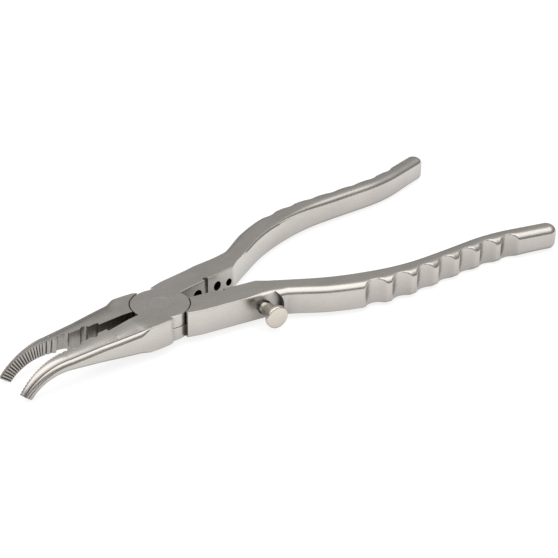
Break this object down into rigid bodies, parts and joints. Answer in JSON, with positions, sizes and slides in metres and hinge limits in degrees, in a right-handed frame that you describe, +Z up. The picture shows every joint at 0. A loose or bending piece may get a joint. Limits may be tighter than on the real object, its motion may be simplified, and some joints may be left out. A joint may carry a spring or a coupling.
{
  "type": "fishing pliers",
  "caption": "Bent-nose stainless fishing pliers with half-lapped levers on a flush rivet, scalloped grips, crimping notches and a thumbscrew lock in one handle.",
  "frame": {"origin": "on the rivet axis at the underside of the joint", "axes": "+X from the joint toward the handle ends, +Z up along the rivet axis, jaws bent toward -Z, the handle with the thumbscrew on the -Y side"},
  "size_m": [0.2647, 0.1034, 0.0169],
  "materials": {
    "lever_steel": "fine brushed stainless steel",
    "rivet_steel": "ground flush and brushed",
    "screw_steel": "turned stainless steel"
  },
  "bodies": {
    "lower": {"lower_lever": "lever_steel", "pivot_rivet": "rivet_steel"},
    "upper": {"upper_lever": "lever_steel"},
    "stud": {"thumbscrew_stud": "screw_steel"},
    "head": {"thumbscrew_head": "screw_steel"}
  },
  "joints": [
    {"name": "lever_pivot", "type": "hinge", "parent": "lower", "child": "upper", "pos_m": [0, 0, 0], "axis": [0, 0, 1], "range_deg": [-11.4, 28]},
    {"name": "screw_travel", "type": "slide", "parent": "lower", "child": "stud", "axis": [0.0993, 0.9951, 0], "range_m": [-0.004, 0.0016]},
    {"name": "screw_turn", "type": "hinge", "parent": "stud", "child": "head", "pos_m": [0.04105, -0.01967, 0.0051], "axis": [0.0993, 0.9951, 0], "range_deg": [-1802, 722]}
  ],
  "couplings": [
    {"joint": "screw_turn", "follows": "screw_travel", "rad_per_m": 7854}
  ]
}
